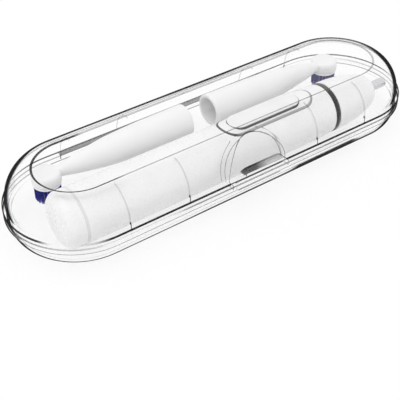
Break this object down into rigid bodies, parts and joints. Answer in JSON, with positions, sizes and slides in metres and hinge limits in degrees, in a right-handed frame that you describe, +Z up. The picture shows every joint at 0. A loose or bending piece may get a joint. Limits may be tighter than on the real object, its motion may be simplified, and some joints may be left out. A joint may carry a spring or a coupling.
{
  "type": "electric toothbrush travel case",
  "caption": "Long clear case with round ends, a film-hinged lid and a hooked front tab, closed round an electric toothbrush handle and spare brush heads that lie in moulded saddles.",
  "frame": {"origin": "under the middle of the closed case, on the plane it rests on", "axes": "+X along the case towards the toothbrush's shaft end, +Y towards the hinge at the back, +Z up"},
  "size_m": [0.225, 0.0772, 0.032],
  "materials": {
    "base_shell": "clear, polished",
    "lid_shell": "clear, polished",
    "clasp_tab": "clear, polished",
    "hinge_web": "clear film, slightly hazy from flexing",
    "clasp_web": "clear film, slightly hazy from flexing",
    "handle_shell": "white, satin gloss",
    "bottom_cap": "white, satin gloss",
    "bottom_seal": "matt grey",
    "accent_ring": "black, glossy",
    "grip_pad": "white soft grip, matt",
    "power_button": "pale grey soft cap, matt",
    "inner_frame": "grey moulded",
    "battery": "green sleeve, satin",
    "motor": "plain steel can",
    "circuit_board": "green solder mask",
    "power_switch": "black",
    "charging_coil": "enamelled copper winding",
    "shaft_bearing": "grey, low friction",
    "drive_shaft": "polished steel",
    "head_sleeve": "white, satin gloss",
    "push_rod": "plain steel wire",
    "brush_disc": "white",
    "bristles_white": "white nylon strands",
    "bristles_blue": "blue nylon strands"
  },
  "bodies": {
    "base": {"base_shell": "base_shell", "hinge_web": "hinge_web", "clasp_web": "clasp_web", "handle_shell": "handle_shell", "bottom_cap": "bottom_cap", "bottom_seal": "bottom_seal", "accent_ring": "accent_ring", "grip_pad": "grip_pad", "inner_frame": "inner_frame", "battery": "battery", "motor": "motor", "circuit_board": "circuit_board", "power_switch": "power_switch", "charging_coil": "charging_coil", "shaft_bearing": "shaft_bearing", "head_sleeve_1": "head_sleeve", "head_sleeve_2": "head_sleeve"},
    "lid": {"lid_shell": "lid_shell"},
    "clasp": {"clasp_tab": "clasp_tab"},
    "button": {"power_button": "power_button"},
    "shaft": {"drive_shaft": "drive_shaft"},
    "rod_1": {"push_rod_1": "push_rod"},
    "rod_2": {"push_rod_2": "push_rod"},
    "disc_1": {"brush_disc_1": "brush_disc", "bristles_white_1": "bristles_white", "bristles_blue_1": "bristles_blue"},
    "disc_2": {"brush_disc_2": "brush_disc", "bristles_white_2": "bristles_white", "bristles_blue_2": "bristles_blue"}
  },
  "joints": [
    {"name": "lid_hinge", "type": "hinge", "parent": "base", "child": "lid", "pos_m": [0, 0.0383, 0.012], "axis": [-1, 0, 0], "range_deg": [0, 180]},
    {"name": "clasp_hinge", "type": "hinge", "parent": "base", "child": "clasp", "pos_m": [0, -0.03625, 0.0096], "axis": [1, 0, 0], "range_deg": [0, 110]},
    {"name": "button_press", "type": "slide", "parent": "base", "child": "button", "axis": [0, 0, -1], "range_m": [0, 0.0006], "stiffness_N_per_m": 600},
    {"name": "shaft_turn", "type": "hinge", "parent": "base", "child": "shaft", "pos_m": [0.09, -0.0129, 0.0155], "axis": [1, 0, 0], "range_deg": [-22, 22]},
    {"name": "rod_turn_1", "type": "hinge", "parent": "base", "child": "rod_1", "pos_m": [-0.044, 0.0137, 0.0208], "axis": [1, 0, 0], "range_deg": [-22, 22]},
    {"name": "disc_turn_1", "type": "hinge", "parent": "base", "child": "disc_1", "pos_m": [-0.0863, 0.0137, 0.0167], "axis": [0, 0, 1], "range_deg": [-22, 22]},
    {"name": "rod_turn_2", "type": "hinge", "parent": "base", "child": "rod_2", "pos_m": [0.0406, 0.0137, 0.0208], "axis": [1, 0, 0], "range_deg": [-22, 22]},
    {"name": "disc_turn_2", "type": "hinge", "parent": "base", "child": "disc_2", "pos_m": [0.0829, 0.0137, 0.0167], "axis": [0, 0, 1], "range_deg": [-22, 22]}
  ],
  "couplings": [
    {"joint": "disc_turn_1", "follows": "rod_turn_1", "ratio": 1},
    {"joint": "disc_turn_2", "follows": "rod_turn_2", "ratio": 1}
  ]
}
